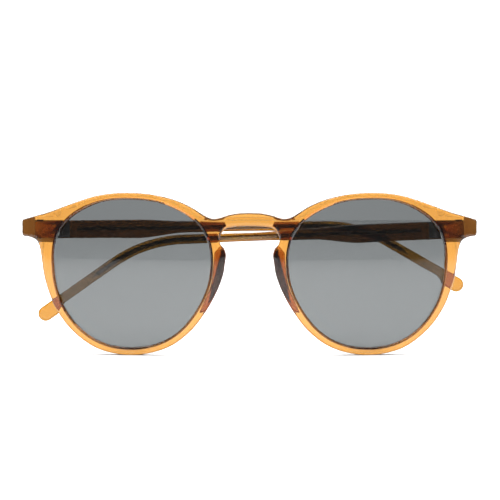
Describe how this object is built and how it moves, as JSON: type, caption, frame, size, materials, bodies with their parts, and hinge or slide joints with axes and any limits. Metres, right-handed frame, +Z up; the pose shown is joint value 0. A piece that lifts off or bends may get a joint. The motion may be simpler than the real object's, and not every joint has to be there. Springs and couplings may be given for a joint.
{
  "type": "sunglasses",
  "caption": "Round translucent amber acetate sunglasses with a keyhole bridge, grey lenses and temples that fold on hidden barrel hinges.",
  "frame": {"origin": "the middle of the nose bridge's underside, where the glasses rest on the nose, at the middle of the bridge's thickness", "axes": "+X towards the wearer's left along the width, +Y from the lenses towards the wearer, +Z up"},
  "size_m": [0.14, 0.0262, 0.0497],
  "materials": {
    "amber_acetate": "polished translucent",
    "grey_lens": "tinted, polished",
    "hinge_metal": "satin",
    "core_metal": "satin"
  },
  "bodies": {
    "front": {"front_frame": "amber_acetate", "lens_left": "grey_lens", "lens_right": "grey_lens", "nose_pad_left": "amber_acetate", "nose_pad_right": "amber_acetate", "front_hinge_leaf_left": "hinge_metal", "front_hinge_leaf_right": "hinge_metal", "hinge_screw_left": "hinge_metal", "hinge_screw_right": "hinge_metal"},
    "temple_left": {"temple_left": "amber_acetate", "temple_hinge_leaf_left": "hinge_metal", "core_wire_left": "core_metal"},
    "temple_right": {"temple_right": "amber_acetate", "temple_hinge_leaf_right": "hinge_metal", "core_wire_right": "core_metal"}
  },
  "joints": [
    {"name": "temple_right_hinge", "type": "hinge", "parent": "front", "child": "temple_right", "pos_m": [-0.0644, 0.01201, -0.0014], "axis": [-0.0236, 0, 0.9997], "range_deg": [0, 90.5]},
    {"name": "temple_left_hinge", "type": "hinge", "parent": "front", "child": "temple_left", "pos_m": [0.0644, 0.01201, -0.0014], "axis": [0.0236, 0, -0.9997], "range_deg": [0, 92.3]}
  ],
  "couplings": [
    {"joint": "temple_left_hinge", "follows": "temple_right_hinge", "ratio": 1.019}
  ]
}
